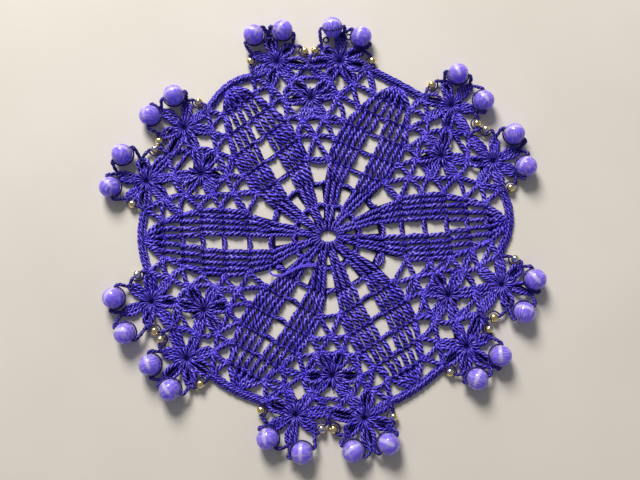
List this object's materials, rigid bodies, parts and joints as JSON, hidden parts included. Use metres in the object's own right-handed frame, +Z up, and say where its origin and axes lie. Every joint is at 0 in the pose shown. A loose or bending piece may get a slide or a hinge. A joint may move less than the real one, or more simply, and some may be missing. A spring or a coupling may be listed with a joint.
{
  "type": "beaded crocheted lace doily",
  "caption": "Round flat crocheted lace doily with a leaf and flower pattern, cut through at its gaps, and a beaded edge.",
  "frame": {"origin": "centre of the bounding box, on the surface that the doily lies on", "axes": "+Z up out of the lace, +Y away from the viewer as it lies in the picture, +X to the right"},
  "size_m": [0.2103, 0.2135, 0.01],
  "materials": {
    "cotton": "violet-blue twisted cotton thread",
    "satin_glass": "satin violet glass with a pale streak",
    "bead_metal": "polished, iridescent"
  },
  "bodies": {
    "root": {"lace": "cotton", "large_bead_01": "satin_glass", "large_bead_02": "satin_glass", "large_bead_03": "satin_glass", "large_bead_04": "satin_glass", "large_bead_05": "satin_glass", "large_bead_06": "satin_glass", "large_bead_07": "satin_glass", "large_bead_08": "satin_glass", "large_bead_09": "satin_glass", "large_bead_10": "satin_glass", "large_bead_11": "satin_glass", "large_bead_12": "satin_glass", "large_bead_13": "satin_glass", "large_bead_14": "satin_glass", "large_bead_15": "satin_glass", "large_bead_16": "satin_glass", "large_bead_17": "satin_glass", "large_bead_18": "satin_glass", "large_bead_19": "satin_glass", "large_bead_20": "satin_glass", "large_bead_21": "satin_glass", "large_bead_22": "satin_glass", "large_bead_23": "satin_glass", "large_bead_24": "satin_glass", "small_bead_01": "bead_metal", "small_bead_02": "bead_metal", "small_bead_03": "bead_metal", "small_bead_04": "bead_metal", "small_bead_05": "bead_metal", "small_bead_06": "bead_metal", "small_bead_07": "bead_metal", "small_bead_08": "bead_metal", "small_bead_09": "bead_metal", "small_bead_10": "bead_metal", "small_bead_11": "bead_metal", "small_bead_12": "bead_metal", "small_bead_13": "bead_metal", "small_bead_14": "bead_metal", "small_bead_15": "bead_metal", "small_bead_16": "bead_metal", "small_bead_17": "bead_metal", "small_bead_18": "bead_metal", "small_bead_19": "bead_metal", "small_bead_20": "bead_metal", "small_bead_21": "bead_metal", "small_bead_22": "bead_metal", "small_bead_23": "bead_metal", "small_bead_24": "bead_metal"}
  },
  "joints": []
}
